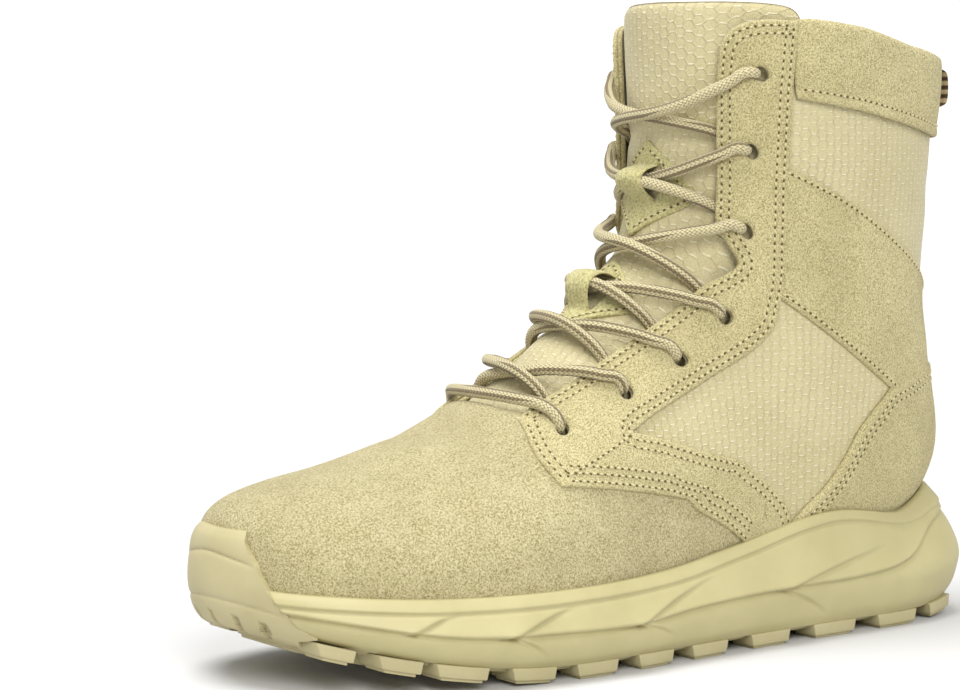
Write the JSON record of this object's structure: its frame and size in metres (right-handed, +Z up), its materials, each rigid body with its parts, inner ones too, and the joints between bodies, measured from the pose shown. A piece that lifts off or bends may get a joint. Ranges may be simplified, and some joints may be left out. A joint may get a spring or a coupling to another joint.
{
  "type": "combat boot",
  "caption": "Left lace-up combat boot with suede and fabric upper, padded tongue and collar, medial zip and lugged rubber sole with toe bumper.",
  "frame": {"origin": "middle of the boot's box, on the floor it stands on", "axes": "+X towards the toe, +Y towards the lateral (outer) side of this left boot, +Z up"},
  "size_m": [0.3068, 0.1122, 0.2199],
  "materials": {
    "suede": "suede nap, sand",
    "midsole_foam": "moulded foam with a painted skin, sand",
    "rubber": "matte, fine grain, sand",
    "fabric": "coated ripstop weave with six-sided cells, sand",
    "lining": "knit lining, sand",
    "lace": "braided polyester, tan",
    "webbing": "woven tape, brown",
    "zip_tape": "woven tape, black, with metal teeth",
    "zip_metal": "plated, satin"
  },
  "bodies": {
    "boot": {"upper": "suede", "midsole": "midsole_foam", "outsole": "rubber", "insole": "lining", "tongue": "fabric", "collar_band": "suede", "heel_counter": "suede", "heel_loop": "webbing", "lace_bar": "lace", "lace_crossing_1": "lace", "lace_crossing_2": "lace", "lace_crossing_3": "lace", "lace_crossing_4": "lace", "lace_crossing_5": "lace", "lace_crossing_6": "lace", "lace_keeper_upper": "suede", "lace_keeper_lower": "suede", "zip_chain": "zip_tape", "zip_slider": "zip_metal"},
    "zip_pull": {"zip_pull": "zip_metal"}
  },
  "joints": [
    {"name": "zip_pull_swing", "type": "hinge", "parent": "boot", "child": "zip_pull", "pos_m": [-0.08019, -0.05111, 0.1698], "axis": [-0.9817, 0.0383, -0.1866], "range_deg": [0, 150]}
  ]
}
